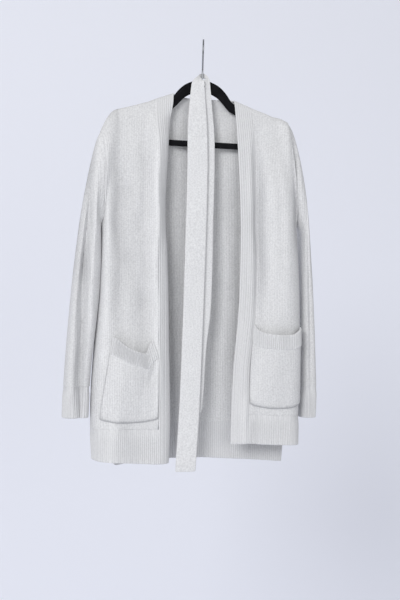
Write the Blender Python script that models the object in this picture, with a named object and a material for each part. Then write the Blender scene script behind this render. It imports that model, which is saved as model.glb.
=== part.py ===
"""Longline knitted cardigan with an open front, patch pockets and a tie belt, hanging on a slim
flocked hanger. Every piece of cloth is a closed wall. Sizes are in millimetres up to add_mesh,
which turns them into metres. Left and right are as seen from the front, which faces -Y. The
origin is the inside top of the hook, where a rail carries it, and +Z is up."""
import math
from collections import namedtuple

import bmesh
import bpy
import numpy as np
from mathutils import Matrix

METRES = 0.001
SEAM_GAP = 0.3
CLOTH = 2.6
RIB_HEIGHT = 1.1

# Front panels: columns from the band seam round the side fold to the side seam
FRONT_COLUMNS = 16
SHOULDER_COLUMNS = 7
NECK_COLUMNS = 12
BACK_COLUMNS = SHOULDER_COLUMNS * 2 + NECK_COLUMNS

# Angles round the armhole, from the shoulder point down to the underarm, one for each upper row
ARMHOLE_ANGLES = (0, 10, 22, 36, 52, 70, 88, 106, 124, 141, 156, 169, 180)
UPPER_ROWS = len(ARMHOLE_ANGLES) - 1
LOWER_ROWS = 8

# Armhole: highest and lowest point of the seam, how far its front edge bows along X, and depths
Armhole = namedtuple("Armhole", "top_x top_z low_x low_z low_y front_bow front_depth back_depth")
ARMHOLE = {
    "left": Armhole(-223, -201, -222, -400, 8, 9, 29, 30),
    "right": Armhole(186, -169, 209, -395, 8, 3, 30, 30),
}

# Shoulder line from the armhole to the neck, as (x, z) of the cloth's outer face
SHOULDER = {
    "left": ((-223, -201), (-215, -183), (-205, -165), (-192, -154), (-159, -146), (-117, -134),
             (-104, -128), (-75, -121), (-62, -111)),
    "right": ((186, -169), (171, -162), (150, -158), (137, -152), (121, -147), (103, -140),
              (81, -132), (61, -124)),
}
BAND_SEAM_TOP = {"left": -104, "right": 104}
NECK_EDGE_TOP = {"left": -66, "right": 63}

# Body outline at each height: band seam x and its depth, front depth, side fold x, back depth
Level = namedtuple("Level", "z seam_x seam_y front_y side_x")
LEVELS = {
    "left": (
        Level(-128, -104, -8, -8, -223),
        Level(-152, -106, -14, -11, -223),
        Level(-178, -107, -25, -14, -222),
        Level(-220, -104, -32, -18, -222),
        Level(-283, -102, -34, -22, -222),
        Level(-346, -103, -34, -25, -222),
        Level(-400, -104, -34, -27, -222),
        Level(-473, -104, -34, -29, -224),
        Level(-557, -104, -33, -31, -227),
        Level(-620, -104, -33, -32, -233),
        Level(-694, -104, -34, -34, -240.5),
        Level(-787, -104, -36, -36, -245),
        Level(-825, -104, -36, -37, -244.5),
        Level(-905, -104, -36, -38, -239),
    ),
    "right": (
        Level(-140, 104, -8, -8, 186),
        Level(-192, 109, -10, -13, 196),
        Level(-235, 113, -11, -18, 200),
        Level(-290, 115, -12, -23, 204),
        Level(-346, 117, -13, -28, 207),
        Level(-400, 118, -14, -31, 209),
        Level(-473, 117, -15, -33, 213),
        Level(-557, 114, -17, -34, 216),
        Level(-620, 109, -20, -35, 216),
        Level(-694, 98, -24, -36, 214),
        Level(-777, 94, -28, -37, 213),
        Level(-825, 93, -29, -37, 212),
        Level(-875, 92, -30, -37, 211),
    ),
}
SIDE_RADIUS = 34
# How closely the change at the underarm keeps to the armhole
UNDERARM_EASE = 10
# How far each column stays inside the armhole, so that a front never bulges over its sleeve
EDGE_INSET = 1
# Where the cloth rounds the hanger's arm at the shoulder
SHOULDER_HALF = 7.5

# How far the side seam has turned towards the back, in degrees round the side fold
SEAM_TURN_AT_HEM = 62

# Back panel: depth of its outer face, and the neck seam between the shoulders
BACK_DEPTHS = ((-128, 8), (-200, 18), (-300, 26), (-400, 32), (-560, 36), (-825, 40), (-915, 41))
NECK_SEAM_DEPTH = 21
NECK_SEAM_DROP = 151
NECK_CORNER_GAP = 2
NECK_EDGE_DEPTH = 15
NECK_EDGE_DROP = 124

# Height of the top of the hem ribs and of the hem's lower edge, from the side to the band
HEM_TOP = {"left": (-824, -829), "right": (-812, -801)}
HEM_LOW = {"left": (-890, -903), "right": (-875, -865)}
BACK_HEM_TOP = -823
# How far each hem's side edge is drawn in from the side seam, at its top and its lower edge
VENT = (1.5, 4)
BACK_HEM_LOW = ((-195, -900), (-178, -921), (-161, -900), (0, -900), (90, -906), (185, -914))

# Soft folds: place across at top and bottom, reach down, half width, depth out of the surface
Fold = namedtuple("Fold", "x_top x_low z_top z_low half_width depth")
FRONT_FOLDS = {
    "left": (
        Fold(-188, -184, -215, -640, 15, -7),
        Fold(-214, -216, -230, -600, 12, 5),
        Fold(-148, -152, -190, -620, 15, 3),
        Fold(-114, -113, -200, -640, 11, 6),
        Fold(-128, -140, -640, -780, 9, -6),
        Fold(-186, -192, -660, -900, 16, 4),
        Fold(-212, -214, -700, -900, 11, -4),
    ),
    "right": (
        Fold(124, 118, -180, -700, 10, -5),
        Fold(150, 146, -230, -860, 18, 4),
        Fold(180, 176, -250, -620, 16, 5),
        Fold(166, 163, -300, -560, 8, -3),
    ),
}
BACK_FOLDS = (
    Fold(34, 30, -170, -880, 17, 6),
    Fold(72, 66, -200, -900, 15, -6),
    Fold(-52, -48, -190, -900, 22, -5),
    Fold(-104, -110, -260, -900, 18, 5),
    Fold(128, 124, -260, -900, 20, 5),
    Fold(-160, -152, -420, -900, 18, -4),
)

# Front band: its slope at the seam and at the free edge, in degrees turned towards the back
BAND_WIDTH = 40
BAND_RIBS = 8
Turn = namedtuple("Turn", "z at_seam at_edge")
BAND_TURNS = {
    "left": (
        Turn(-128, 0, 0),
        Turn(-155, 0, 6),
        Turn(-178, 0, 56),
        Turn(-220, 4, 86),
        Turn(-283, 26, 88),
        Turn(-346, 38, 88),
        Turn(-400, 32, 88),
        Turn(-473, 16, 88),
        Turn(-557, 8, 88),
        Turn(-694, 2, 84),
        Turn(-821, 0, 80),
        Turn(-905, 4, 90),
    ),
    "right": (
        Turn(-140, 0, 0),
        Turn(-192, -6, -4),
        Turn(-290, -22, 0),
        Turn(-400, -26, 4),
        Turn(-557, -26, 10),
        Turn(-649, -34, 46),
        Turn(-707, -34, 56),
        Turn(-777, -28, 40),
        Turn(-865, -20, 30),
    ),
}

# Sleeves: outer and inner edge of each ring, front and back depth, and the lengthwise fold
Ring = namedtuple("Ring", "out_x out_z in_x in_z front back fold_angle fold_depth")
SLEEVE_RINGS = {
    "left": (
        Ring(-228, -209, -227, -404, -27, 41, 75, 0),
        Ring(-235, -238, -229, -409, -31, 47, 75, 0),
        Ring(-246, -280, -228, -418, -35, 52, 75, 4),
        Ring(-256, -324, -227, -432, -37, 55, 72, 11),
        Ring(-265, -372, -227, -450, -37, 56, 70, 17),
        Ring(-271, -425, -227, -474, -36, 56, 70, 20),
        Ring(-277, -478, -228, -506, -35, 55, 74, 21),
        Ring(-283, -532, -229.5, -544, -34, 53, 80, 21),
        Ring(-288, -586, -233, -590, -33, 51, 86, 20),
        Ring(-293, -640, -238, -641, -32, 48, 92, 19),
        Ring(-297, -690, -243, -690, -31, 45, 98, 18),
        Ring(-300, -738, -245.7, -738, -30, 42, 104, 16),
    ),
    "right": (
        Ring(196, -179, 215, -399, -25, 42, 110, 0),
        Ring(206, -202, 221, -405, -22, 50, 110, 0),
        Ring(216, -240, 224, -414, -18, 58, 110, 0),
        Ring(228, -284, 224, -427, -15, 64, 105, 3),
        Ring(235, -332, 223, -444, -13, 68, 100, 6),
        Ring(240, -385, 222, -468, -12, 70, 95, 8),
        Ring(244, -440, 222, -500, -12, 70, 92, 8),
        Ring(248, -505, 222, -540, -11, 68, 90, 8),
        Ring(251, -570, 222, -588, -10, 66, 88, 8),
        Ring(254, -630, 222, -638, -9, 63, 86, 7),
        Ring(256, -690, 221, -692, -8, 60, 84, 6),
        Ring(258, -746, 221, -746, -7, 56, 82, 4),
    ),
}
CUFF_RINGS = {
    "left": Ring(-302, -804, -248.8, -804, -27, 38, 104, 13),
    "right": Ring(255, -815, 222, -815, -5, 50, 82, 3),
}
SLEEVE_MIDDLE_DEPTH = {"left": 7, "right": 24}
FOLD_SPREAD = 17
UNDERARM_GAP = 1.5
ARMHOLE_EASE = 0.4

# Pockets: which columns of the front they cover at the mouth and the lower edge, the height of the
# lower edge and its bow, how far the mouth stands open, and the trim's height at its ends and middle
Pocket = namedtuple("Pocket", "near_top near_low far_top far_low low bow gape rib_end rib_middle")
POCKETS = {
    "left": Pocket(1.3, 0.15, 8.7, 10.0, -806, 8, 15, 36, 32),
    "right": Pocket(0.15, 0.15, 11.3, 11.5, -779, 11, 11, 41, 31),
}
# Height of each mouth, as (share of the width from the band, z)
POCKET_MOUTHS = {
    "left": ((0, -644), (0.07, -648), (0.125, -660), (0.1875, -669), (0.33, -667.5),
             (0.645, -656), (0.83, -644), (1, -634)),
    "right": ((0, -609), (0.115, -620.5), (0.25, -628), (0.455, -631.7), (0.66, -631.7),
              (0.77, -630), (0.85, -623), (1, -616)),
}
POCKET_COLUMNS = 16
POCKET_ROWS = 6
POCKET_CLEARANCE = 0.8
POCKET_PUFF = 2.6

# Tie belt: (z, left x, right x, y of the outer face) down each strand from the hook
Strand = namedtuple("Strand", "z left right y")
BELT_FRONT = (
    Strand(-89, -29, -2, -14),
    Strand(-115, -31, 0, -15),
    Strand(-163, -37, 4, -16),
    Strand(-216, -38, 6, -17),
    Strand(-301, -39, 6, -18),
    Strand(-385, -42, 3, -19),
    Strand(-472, -45, 0, -20),
    Strand(-600, -49, -5, -21),
    Strand(-700, -53, -9, -21),
    Strand(-790, -57, -13, -22),
    Strand(-860, -62, -18, -22),
    Strand(-922, -66, -22, -22),
)
BELT_REAR = (
    Strand(-89, -1.5, 13, -9),
    Strand(-112, -4, 14, -8.5),
    Strand(-160, -16, 19, -8.5),
    Strand(-213, -19, 24, -9),
    Strand(-300, -22, 22, -10),
    Strand(-400, -24, 19, -11),
    Strand(-514, -27, 17, -12),
    Strand(-600, -31, 13, -12),
    Strand(-640, -38, 5, -12),
    Strand(-707, -43, 0, -12),
    Strand(-750, -45, -1, -12),
    Strand(-798, -50, -7, -12),
)
# Where the belt wraps behind the hook: (x of upper edge, y, z, x of lower edge, y, z)
BELT_WRAP = (
    (-20, -10, -82, -6, -9, -86),
    (-12, -3, -75, -7, -5, -81),
    (-6, 5, -70, -5, 4, -79),
    (0, 8, -68, 0, 7.5, -79),
    (6, 4, -71, 4.5, 4, -79.5),
    (10, -2, -77, 4.5, -3, -82.5),
)
BELT_THICKNESS = 2.8
BELT_COLUMNS = 4

# Hanger: arm edges from the neck of the hook outwards, as (x, top z, lower z)
HANGER_ARM = (
    (0, -84, -110),
    (10, -85, -111),
    (20, -88, -114.5),
    (30, -92, -119),
    (39, -97, -125),
    (48, -105, -135),
    (55, -113, -143),
    (61, -122, -149),
    (66, -129, -152),
    (78, -136, -156),
    (99, -145, -162),
    (119, -150, -166),
    (138, -155, -170),
    (158, -160, -175),
    (172, -165, -181),
)
# The tip, as (outer x, outer z, inner x, inner z), and the bar that closes the arms
HANGER_TIP = (
    (181, -168, 176, -184),
    (189, -175, 179, -189),
    (193, -186, 180, -196),
    (193, -203, 179, -205),
    (187, -219, 174, -212),
    (175, -228, 166, -216),
)
BAR_TOP = -216.5
BAR_LOW = -229.5
BAR_STEPS = 6
HANGER_THICKNESS = 5.6
HANGER_EDGE = 1.4
HANGER_ROLL = 1.8

# Hook: wire bent in a plane that is turned to face along the rail's cross direction
WIRE_RADIUS = 1.8
HOOK_RADIUS = 21
HOOK_TURN = 78
WIRE_SIDES = 12
HOOK_STEM = ((0, -83.7), (0, -72), (-0.5, -64), (-3.5, -56), (-10, -48), (-15.5, -41))
# Angles of the bend, from above the stem round to the free tip
HOOK_FROM = 210
HOOK_TO = -25


def lerp(a, b, t):
    """Mix two values or points."""
    return a + (b - a) * t


def smooth(t):
    """Ease from 0 to 1."""
    t = min(max(t, 0.0), 1.0)
    return t * t * (3 - 2 * t)


def along(table, z, column):
    """Read a column of a table whose first column is a falling height."""
    heights = [-row[0] for row in table]
    values = [row[column] for row in table]
    return float(np.interp(-z, heights, values))


def profile(points, x):
    """Height of a line of (x, z) points at x."""
    ordered = sorted(points)
    return float(np.interp(x, [p[0] for p in ordered], [p[1] for p in ordered]))


def fold_depth(folds, x, z):
    """Sum of the folds at a place, positive out of the surface."""
    total = 0.0
    for fold in folds:
        run = (fold.z_top - z) / (fold.z_top - fold.z_low)
        if 0 < run < 1:
            centre = lerp(fold.x_top, fold.x_low, run)
            fade = math.sin(math.pi * run) ** 0.6
            total += fold.depth * fade * math.exp(-((x - centre) / fold.half_width) ** 2)
    return total


def unit(vectors):
    """Scale vectors to length one."""
    lengths = np.linalg.norm(vectors, axis=-1, keepdims=True)
    return vectors / np.maximum(lengths, 1e-9)


def normals(grid, closed=False):
    """Outward directions of a sheet of points, rows by columns."""
    down = np.gradient(grid, axis=0)
    if closed:
        across = np.roll(grid, -1, axis=1) - np.roll(grid, 1, axis=1)
    else:
        across = np.gradient(grid, axis=1)
    result = unit(np.cross(down, across))
    middle = grid.mean(axis=1, keepdims=True)
    if np.sum(result * (grid - middle)) < 0:
        result = -result
    return result


def outwards(side):
    """Sign of X from the middle towards one side."""
    return -1 if side == "left" else 1


def armhole_point(side, angle, back):
    """A point of the armhole seam, at an angle from the shoulder point."""
    hole = ARMHOLE[side]
    cos = math.cos(math.radians(angle))
    sin = math.sin(math.radians(angle))
    x = lerp(hole.low_x, hole.top_x, (1 + cos) / 2)
    if not back:
        x += hole.front_bow * sin
    y = lerp(hole.low_y, 0, (1 + cos) / 2)
    y += hole.back_depth * sin if back else -hole.front_depth * sin
    z = lerp(hole.low_z, hole.top_z, (1 + cos) / 2)
    return x, y, z


def lower_run(side, z, front):
    """Points round the body at one height, from the band seam or back middle to the side seam."""
    hole = ARMHOLE[side]
    sign = outwards(side)
    seam_x = along(LEVELS[side], z, 1)
    seam_y = along(LEVELS[side], z, 2)
    front_y = along(LEVELS[side], z, 3)
    side_x = along(LEVELS[side], z, 4)
    back_y = along(BACK_DEPTHS, z, 1)
    fall = (hole.low_z - z) / (hole.low_z - HEM_TOP[side][0])
    turn = SEAM_TURN_AT_HEM * min(max(fall, 0.0), 1.15)
    side_y = hole.low_y
    points = []
    if front:
        flat_end = side_x - sign * SIDE_RADIUS
        for step in range(41):
            t = step / 40
            x = lerp(seam_x, flat_end, t)
            y = lerp(seam_y, front_y, smooth(t / 0.22))
            points.append((x, y - fold_depth(FRONT_FOLDS[side], x, z), z))
        for step in range(1, 61):
            angle = lerp(-90, turn, step / 60)
            x = flat_end + sign * SIDE_RADIUS * math.cos(math.radians(angle))
            depth = side_y - front_y if angle < 0 else back_y - side_y
            y = side_y + depth * math.sin(math.radians(angle))
            y -= fold_depth(FRONT_FOLDS[side], x, z) * max(0.0, -math.sin(math.radians(angle)))
            points.append((x, y, z))
        return points
    flat_end = side_x - sign * SIDE_RADIUS
    for step in range(40):
        angle = lerp(turn, 90, step / 40)
        x = flat_end + sign * SIDE_RADIUS * math.cos(math.radians(angle))
        y = side_y + (back_y - side_y) * math.sin(math.radians(angle))
        points.append((x, y, z))
    for step in range(41):
        x = lerp(flat_end, 0, step / 40)
        points.append((x, back_y + fold_depth(BACK_FOLDS, x, z), z))
    return points


def resample(points, count):
    """Space points evenly along a line."""
    points = np.array(points, float)
    steps = np.linalg.norm(np.diff(points, axis=0), axis=1)
    run = np.concatenate([[0], np.cumsum(steps)])
    wanted = np.linspace(0, run[-1], count + 1)
    return np.stack([np.interp(wanted, run, points[:, k]) for k in range(3)], axis=1)


def upper_front_row(side, angle):
    """One row of a front above the underarm, from the band seam to the armhole."""
    share = (1 - math.cos(math.radians(angle))) / 2
    edge_x, edge_y, edge_z = armhole_point(side, angle, False)
    low_z = ARMHOLE[side].low_z
    row = []
    for column in range(FRONT_COLUMNS + 1):
        s = column / FRONT_COLUMNS
        top_x = lerp(BAND_SEAM_TOP[side], ARMHOLE[side].top_x, s)
        top_z = profile(SHOULDER[side], top_x)
        z = lerp(top_z, low_z, share)
        seam_x = along(LEVELS[side], z, 1)
        x = lerp(seam_x, edge_x, s)
        rise = SHOULDER_HALF * math.sin(math.radians(min(angle * 4.5, 90)))
        deep = -along(LEVELS[side], z, 3) - 8
        seam = -along(LEVELS[side], z, 2) - 8
        body = max(0.0, lerp(seam, deep, smooth(s / 0.22)))
        y = -rise - body * smooth(angle / 60)
        y -= fold_depth(FRONT_FOLDS[side], x, z) * smooth(angle / 70)
        y = lerp(y, edge_y, smooth((s - 0.62) / 0.38))
        row.append((x, y, z))
    row[-1] = (edge_x, edge_y, edge_z)
    return np.array(row)


def front_grid(side):
    """Outer points of a front panel: rows from the shoulder to the hem, columns from the band."""
    rows = [upper_front_row(side, angle) for angle in ARMHOLE_ANGLES]
    low_z = ARMHOLE[side].low_z
    side_top, band_top = HEM_TOP[side]
    under = resample(lower_run(side, low_z, True), FRONT_COLUMNS)
    weight = np.linspace(0, 1, FRONT_COLUMNS + 1)[:, None] ** UNDERARM_EASE
    for number, angle in enumerate(ARMHOLE_ANGLES):
        share = smooth(((1 - math.cos(math.radians(angle))) / 2 - 0.25) / 0.75)
        target = under.copy()
        target[:, 2] = rows[number][:, 2]
        target += (rows[number][-1] - target[-1]) * weight
        target[0] = rows[number][0]
        mixed = lerp(rows[number], target, share)
        inset = EDGE_INSET * np.arange(FRONT_COLUMNS, -1, -1) * min(1.0, (180 - angle) / 40)
        limit = abs(mixed[-1, 0]) - inset
        mixed[:, 0] = outwards(side) * np.minimum(np.abs(mixed[:, 0]), limit)
        rows[number] = mixed
    for step in range(1, LOWER_ROWS + 1):
        t = step / LOWER_ROWS
        points = resample(lower_run(side, lerp(low_z, side_top, t), True), FRONT_COLUMNS)
        for column in range(FRONT_COLUMNS + 1):
            bottom = lerp(band_top, side_top, column / FRONT_COLUMNS)
            points[column, 2] = lerp(low_z, bottom, t)
        rows.append(points)
    return np.array(rows)


def hem_row(side):
    """Lower edge of a front hem under the panel's last row."""
    side_low, band_low = HEM_LOW[side]
    row = resample(lower_run(side, side_low, True), FRONT_COLUMNS)
    for column in range(FRONT_COLUMNS + 1):
        row[column, 2] = lerp(band_low, side_low, column / FRONT_COLUMNS)
    return row


def neck_share(number):
    """Share of the way round the back neck, with the steps close together at the shoulders."""
    return (1 - math.cos(math.pi * number / NECK_COLUMNS)) / 2


def back_top(column):
    """Point of the back panel's upper edge: left shoulder, neck seam, right shoulder."""
    neck_from = SHOULDER_COLUMNS
    neck_to = SHOULDER_COLUMNS + NECK_COLUMNS
    if column <= neck_from:
        x = lerp(ARMHOLE["left"].top_x, BAND_SEAM_TOP["left"], column / SHOULDER_COLUMNS)
        return x, 0.0, profile(SHOULDER["left"], x)
    if column >= neck_to:
        x = lerp(BAND_SEAM_TOP["right"], ARMHOLE["right"].top_x,
                 (column - neck_to) / SHOULDER_COLUMNS)
        return x, 0.0, profile(SHOULDER["right"], x)
    t = neck_share(column - neck_from)
    x = lerp(BAND_SEAM_TOP["left"], BAND_SEAM_TOP["right"], t)
    ends = lerp(profile(SHOULDER["left"], BAND_SEAM_TOP["left"]),
                profile(SHOULDER["right"], BAND_SEAM_TOP["right"]), t)
    round_off = math.sin(math.pi * t) ** 0.55
    return x, NECK_SEAM_DEPTH * round_off, lerp(ends, -NECK_SEAM_DROP, round_off ** 1.5)


def back_lower_row(t):
    """One row of the back panel below the underarm, from the left side seam to the right."""
    left_z = lerp(ARMHOLE["left"].low_z, HEM_TOP["left"][0], t)
    right_z = lerp(ARMHOLE["right"].low_z, HEM_TOP["right"][0], t)
    left = lower_run("left", left_z, False)
    right = lower_run("right", right_z, False)
    points = resample(left + right[::-1][1:], BACK_COLUMNS)
    for column in range(BACK_COLUMNS + 1):
        s = column / BACK_COLUMNS
        ends = lerp(left_z, right_z, s)
        middle = lerp(lerp(ARMHOLE["left"].low_z, ARMHOLE["right"].low_z, s), BACK_HEM_TOP, t)
        points[column, 2] = lerp(ends, middle, math.sin(math.pi * s) ** 0.5)
    return points


def back_grid():
    """Outer points of the back panel, rows from the shoulders and neck down to the hem."""
    rows = []
    under = back_lower_row(0)
    for angle in ARMHOLE_ANGLES:
        share = (1 - math.cos(math.radians(angle))) / 2
        left = armhole_point("left", angle, True)
        right = armhole_point("right", angle, True)
        row = []
        for column in range(BACK_COLUMNS + 1):
            s = column / BACK_COLUMNS
            top_x, top_y, top_z = back_top(column)
            low_z = lerp(ARMHOLE["left"].low_z, ARMHOLE["right"].low_z, s)
            z = lerp(top_z, low_z, share)
            x = lerp(top_x, under[column, 0], smooth(share))
            rise = SHOULDER_HALF * math.sin(math.radians(min(angle * 4.5, 90)))
            deep = max(0.0, along(BACK_DEPTHS, z, 1) - 8)
            shoulder_y = rise + deep * smooth(angle / 60)
            reach = along(BACK_DEPTHS, low_z, 1)
            neck_y = lerp(top_y, reach, smooth(share) ** 0.8)
            y = lerp(max(shoulder_y, top_y), neck_y, top_y / NECK_SEAM_DEPTH)
            y += fold_depth(BACK_FOLDS, x, z) * smooth(angle / 70)
            near = max(smooth((0.2 - s) / 0.2), smooth((s - 0.8) / 0.2))
            edge_y = left[1] if s < 0.5 else right[1]
            y = lerp(y, edge_y, near)
            row.append((x, y, z))
        row[0] = left
        row[-1] = right
        rows.append(np.array(row))
    s = np.linspace(0, 1, BACK_COLUMNS + 1)[:, None]
    for number, angle in enumerate(ARMHOLE_ANGLES):
        share = smooth(((1 - math.cos(math.radians(angle))) / 2 - 0.3) / 0.7)
        row = rows[number]
        target = under.copy()
        target[:, 2] = row[:, 2]
        target += (row[0] - target[0]) * np.clip(1 - 2 * s, 0, 1) ** UNDERARM_EASE
        target += (row[-1] - target[-1]) * np.clip(2 * s - 1, 0, 1) ** UNDERARM_EASE
        rows[number] = lerp(row, target, share)
    for step in range(1, LOWER_ROWS + 1):
        rows.append(back_lower_row(step / LOWER_ROWS))
    return np.array(rows)


def back_hem_row():
    """Lower edge of the back hem."""
    left = lower_run("left", HEM_LOW["left"][0], False)
    right = lower_run("right", HEM_LOW["right"][0], False)
    row = resample(left + right[::-1][1:], BACK_COLUMNS)
    for column in range(BACK_COLUMNS + 1):
        row[column, 2] = profile(BACK_HEM_LOW, row[column, 0])
    return row


def add_mesh(name, build, material):
    """Make an object from a bmesh in millimetres."""
    bmesh.ops.remove_doubles(build, verts=build.verts, dist=0.0005)
    bmesh.ops.recalc_face_normals(build, faces=build.faces)
    bmesh.ops.scale(build, vec=(METRES,) * 3, verts=build.verts)
    mesh = bpy.data.meshes.new(name)
    build.to_mesh(mesh)
    build.free()
    mesh.materials.append(material)
    mesh.shade_smooth()
    mesh.set_sharp_from_angle(angle=math.radians(40))
    body = bpy.data.objects.new(name, mesh)
    bpy.context.collection.objects.link(body)
    return body


def sheet_faces(build, verts, closed):
    """Faces over a sheet of vertices."""
    columns = len(verts[0])
    for upper, lower in zip(verts, verts[1:]):
        for j in range(columns if closed else columns - 1):
            k = (j + 1) % columns
            build.faces.new((upper[j], upper[k], lower[k], lower[j]))


def rim_faces(build, fine, coarse, closed):
    """Close the rim between a row of the outer sheet and the matching row of the inner one."""
    spans = len(coarse) if closed else len(coarse) - 1
    ratio = (len(fine) if closed else len(fine) - 1) // spans
    for span in range(spans):
        a = coarse[span]
        b = coarse[(span + 1) % len(coarse)]
        middle = span * ratio + ratio // 2
        for i in range(span * ratio, span * ratio + ratio):
            corner = a if i < middle else b
            build.faces.new((fine[i], fine[(i + 1) % len(fine)], corner))
        build.faces.new((fine[middle], b, a))


def add_wall(name, outer, inner, material, closed=False):
    """A closed wall between an outer and an inner sheet with the same number of rows."""
    build = bmesh.new()
    outside = [[build.verts.new(p) for p in row] for row in outer]
    inside = [[build.verts.new(p) for p in row] for row in inner]
    sheet_faces(build, outside, closed)
    sheet_faces(build, inside, closed)
    rim_faces(build, outside[0], inside[0], closed)
    rim_faces(build, outside[-1], inside[-1], closed)
    if not closed:
        for edge in (0, -1):
            for i in range(len(outside) - 1):
                build.faces.new((outside[i][edge], outside[i + 1][edge],
                                 inside[i + 1][edge], inside[i][edge]))
    return add_mesh(name, build, material)


def ribbed(rows, directions, ribs_per_span, height, closed=False):
    """Raise ribs between the columns of some rows, straight along each facet."""
    steps = ribs_per_span * 2
    result = []
    for row, out in zip(rows, directions):
        columns = len(row)
        line = []
        for j in range(columns if closed else columns - 1):
            k = (j + 1) % columns
            for step in range(steps):
                t = step / steps
                lift = height if step % 2 else 0.0
                line.append(lerp(row[j], row[k], t) + unit(lerp(out[j], out[k], t)) * lift)
        if not closed:
            line.append(row[-1])
        result.append(line)
    return result


def cloth_material(name, colour, roughness):
    """Plain material of a cloth."""
    material = bpy.data.materials.new(name)
    material.use_nodes = True
    shader = material.node_tree.nodes["Principled BSDF"]
    shader.inputs["Base Color"].default_value = (*colour, 1)
    shader.inputs["Roughness"].default_value = roughness
    return material


def seam_shift(grid, column, direction, rows):
    """Move one column half a seam gap along a direction."""
    moved = grid.copy()
    moved[rows, column] += direction * SEAM_GAP / 2
    return moved


def pair_seam(front, front_out, back, back_out, back_column):
    """Share the outward directions along a side seam and part the two panels there."""
    rows = slice(UPPER_ROWS, None)
    shared = unit(front_out[rows, -1] + back_out[rows, back_column])
    front_out[rows, -1] = shared
    back_out[rows, back_column] = shared
    step = -1 if back_column == -1 else 1
    inner_column = back_column + step
    across = unit(back[rows, inner_column] - front[rows, -2])
    across = unit(across - shared * np.sum(across * shared, axis=-1, keepdims=True))
    return seam_shift(front, -1, -across, rows), seam_shift(back, back_column, across, rows)


def even_armhole(out, column):
    """Even out the outward directions along an armhole edge."""
    for _ in range(3):
        edge = out[:UPPER_ROWS + 2, column]
        mixed = unit(edge[:-2] + 2 * edge[1:-1] + edge[2:])
        out[1:UPPER_ROWS + 1, column] = mixed


def flatten_shoulder(out, columns):
    """Keep the rim of a shoulder seam in the plane of the seam."""
    out[0, columns, 1] = 0
    out[0, columns] = unit(out[0, columns])


def panel_grids():
    """Outer points and outward directions of the two fronts and the back, hem rows included."""
    fronts = {}
    outs = {}
    for side in ("left", "right"):
        grid = front_grid(side)
        grid = np.concatenate([grid, hem_row(side)[None]])
        fronts[side] = grid
        outs[side] = normals(grid)
        if outs[side][UPPER_ROWS, 4, 1] > 0:
            outs[side] = -outs[side]
    back = np.concatenate([back_grid(), back_hem_row()[None]])
    back_out = normals(back)
    if back_out[UPPER_ROWS, BACK_COLUMNS // 2, 1] < 0:
        back_out = -back_out
    fronts["left"], back = pair_seam(fronts["left"], outs["left"], back, back_out, 0)
    fronts["right"], back = pair_seam(fronts["right"], outs["right"], back, back_out, -1)
    for side, column in (("left", 0), ("right", -1)):
        even_armhole(outs[side], -1)
        even_armhole(back_out, column)
        shared = unit(outs[side][UPPER_ROWS, -1] + back_out[UPPER_ROWS, column])
        outs[side][UPPER_ROWS, -1] = shared
        back_out[UPPER_ROWS, column] = shared
    for side in ("left", "right"):
        flatten_shoulder(outs[side], slice(None))
        fronts[side][0, :, 1] = -SEAM_GAP / 2
    for columns in (slice(0, SHOULDER_COLUMNS + 1), slice(BACK_COLUMNS - SHOULDER_COLUMNS, None)):
        flatten_shoulder(back_out, columns)
        back[0, columns, 1] = SEAM_GAP / 2
    for side, column in (("left", 0), ("right", -1)):
        shared = unit(outs[side][0, -1] + back_out[0, column])
        outs[side][0, -1] = shared
        back_out[0, column] = shared
    return fronts, outs, back, back_out


def open_vent(hem, edge, neighbour):
    """Draw a hem's free side edge in, so that a slit stays between front and back."""
    for row, opening in enumerate(VENT):
        away = unit(hem[row, neighbour] - hem[row, edge])
        hem[row, edge] += away * opening


def add_panel_with_hem(name, grid, out, material, ribs_per_span, inner_every):
    """A plain panel over a ribbed hem, parted by the seam gap."""
    rows = slice(0, -1)
    inner = grid - out * CLOTH
    add_wall(name, grid[rows], inner[rows], material)
    hem = grid[-2:].copy()
    hem_out = out[-2:].copy()
    hem_out[1] = hem_out[0]
    hem[0, :, 2] -= SEAM_GAP
    open_vent(hem, -1, -2)
    if name == "back":
        open_vent(hem, 0, 1)
    hem_inner = hem - hem_out * CLOTH
    keep = list(range(0, hem.shape[1], inner_every))
    add_wall("hem_" + name, ribbed(hem, hem_out, ribs_per_span, RIB_HEIGHT),
             hem_inner[:, keep], material)


def band_profile(side, seam, tangent_z, z, columns):
    """Points across the front band from its seam to its free edge at one height."""
    sign = -1 if side == "right" else 1
    at_seam = math.radians(along(BAND_TURNS[side], z, 1))
    at_edge = math.radians(along(BAND_TURNS[side], z, 2))
    step = BAND_WIDTH / columns
    points = [np.array(seam, float)]
    for column in range(columns):
        angle = lerp(at_seam, at_edge, (column + 0.5) / columns)
        move = np.array([sign * math.cos(angle), math.sin(angle), tangent_z])
        points.append(points[-1] + unit(move) * step)
    return np.array(points)


def add_band(side, grid, out, material):
    """Front band along one front edge, from the shoulder to the hem."""
    sign = -1 if side == "right" else 1
    columns = 4
    rows = []
    for row in range(grid.shape[0]):
        seam = grid[row, 0] + np.array([sign * SEAM_GAP, 0, 0])
        z = seam[2]
        top_x = NECK_EDGE_TOP[side]
        rise = profile(SHOULDER[side], top_x) - profile(SHOULDER[side], BAND_SEAM_TOP[side])
        slope = rise / BAND_WIDTH * (1 - smooth((grid[0, 0, 2] - z) / 150))
        points = band_profile(side, seam, slope, z, columns)
        if row == 0:
            points[:, 1] = -SEAM_GAP / 2
        rows.append(points)
    band = np.array(rows)
    band_out = normals(band)
    if band_out[UPPER_ROWS, 0, 1] > 0:
        band_out = -band_out
    band_out[:, 0] = out[:, 0]
    flatten_shoulder(band_out, slice(None))
    inner = band - band_out * CLOTH
    outer = ribbed(band, band_out, BAND_RIBS // columns, RIB_HEIGHT)
    add_wall("band_" + side, outer, inner, material)
    return band, band_out


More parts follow.
